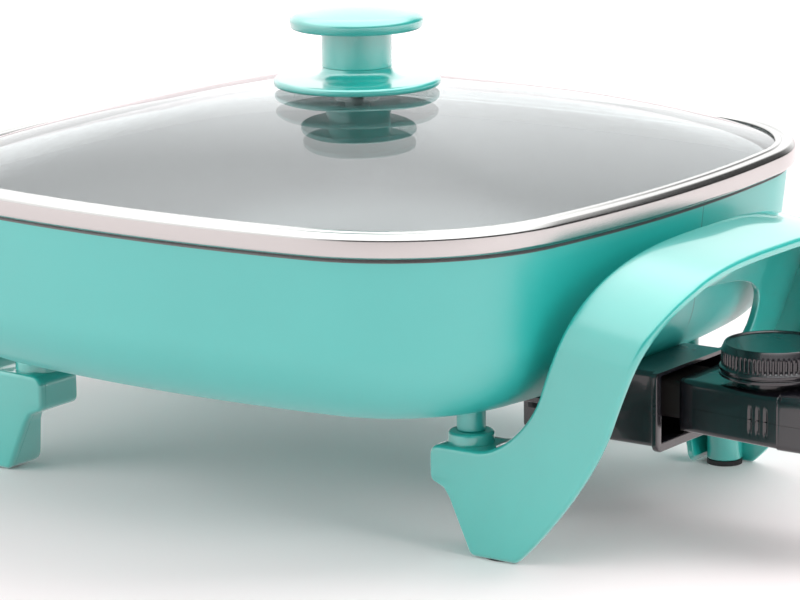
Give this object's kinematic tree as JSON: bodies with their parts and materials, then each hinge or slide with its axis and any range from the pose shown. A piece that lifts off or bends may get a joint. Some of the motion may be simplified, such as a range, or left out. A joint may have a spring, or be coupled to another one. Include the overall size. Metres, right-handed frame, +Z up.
{
  "type": "electric skillet",
  "caption": "Square electric skillet with a lift-off domed glass lid, two leg handles and a pull-out probe control with a turning dial.",
  "frame": {"origin": "middle of the object's box at table height, below the middle of its length", "axes": "+X from the pan towards the control, +Z up, -Y is the front"},
  "size_m": [0.4512, 0.3108, 0.1892],
  "materials": {
    "turquoise_pan": "gloss enamel",
    "turquoise_handle": "gloss moulding",
    "black_gloss": "gloss moulding",
    "dark_moulding": "heat-proof moulding",
    "bright_steel": "bright rolled sheet",
    "steel": "plain",
    "cast_aluminium": "as cast",
    "brass": "plain",
    "ceramic": "unglazed",
    "rubber": "matt",
    "silicone": "soft matt",
    "glass": "clear tempered",
    "red_lens": "tinted",
    "lamp_glass": "clear"
  },
  "bodies": {
    "skillet": {"pan": "turquoise_pan", "element_channel": "cast_aluminium", "heating_element": "steel", "terminal_pins": "steel", "terminal_bushings": "ceramic", "probe_sleeve": "steel", "socket_shroud": "black_gloss", "socket_screws": "steel", "handle_right": "turquoise_handle", "handle_left": "turquoise_handle", "handle_screws": "steel", "handle_washers": "steel", "foot_pads": "rubber"},
    "lid": {"lid_glass": "glass", "lid_band": "bright_steel", "knob_base": "turquoise_handle", "knob_top": "turquoise_handle", "knob_gasket": "silicone", "knob_washer": "steel", "knob_screw": "steel"},
    "control": {"control_base": "black_gloss", "control_cover": "black_gloss", "control_nose": "dark_moulding", "probe_tube": "steel", "contact_sleeves": "brass", "thermostat_frame": "steel", "contact_leaf_upper": "brass", "contact_leaf_lower": "brass", "leaf_insulators": "ceramic", "leaf_rivet": "steel", "indicator_lens": "red_lens", "indicator_lamp": "lamp_glass", "control_screws": "steel", "cord_gland": "rubber"},
    "dial": {"dial": "black_gloss", "dial_shaft": "steel", "shaft_clip": "steel"}
  },
  "joints": [
    {"name": "lid_lift", "type": "slide", "parent": "skillet", "child": "lid", "axis": [0, 0, 1], "range_m": [0, 0.15]},
    {"name": "control_pull", "type": "slide", "parent": "skillet", "child": "control", "axis": [1, 0, 0], "range_m": [0, 0.1]},
    {"name": "dial_turn", "type": "hinge", "parent": "control", "child": "dial", "pos_m": [0.16345, 0, 0.0628], "axis": [0, 0, 1], "range_deg": [0, 300]}
  ]
}
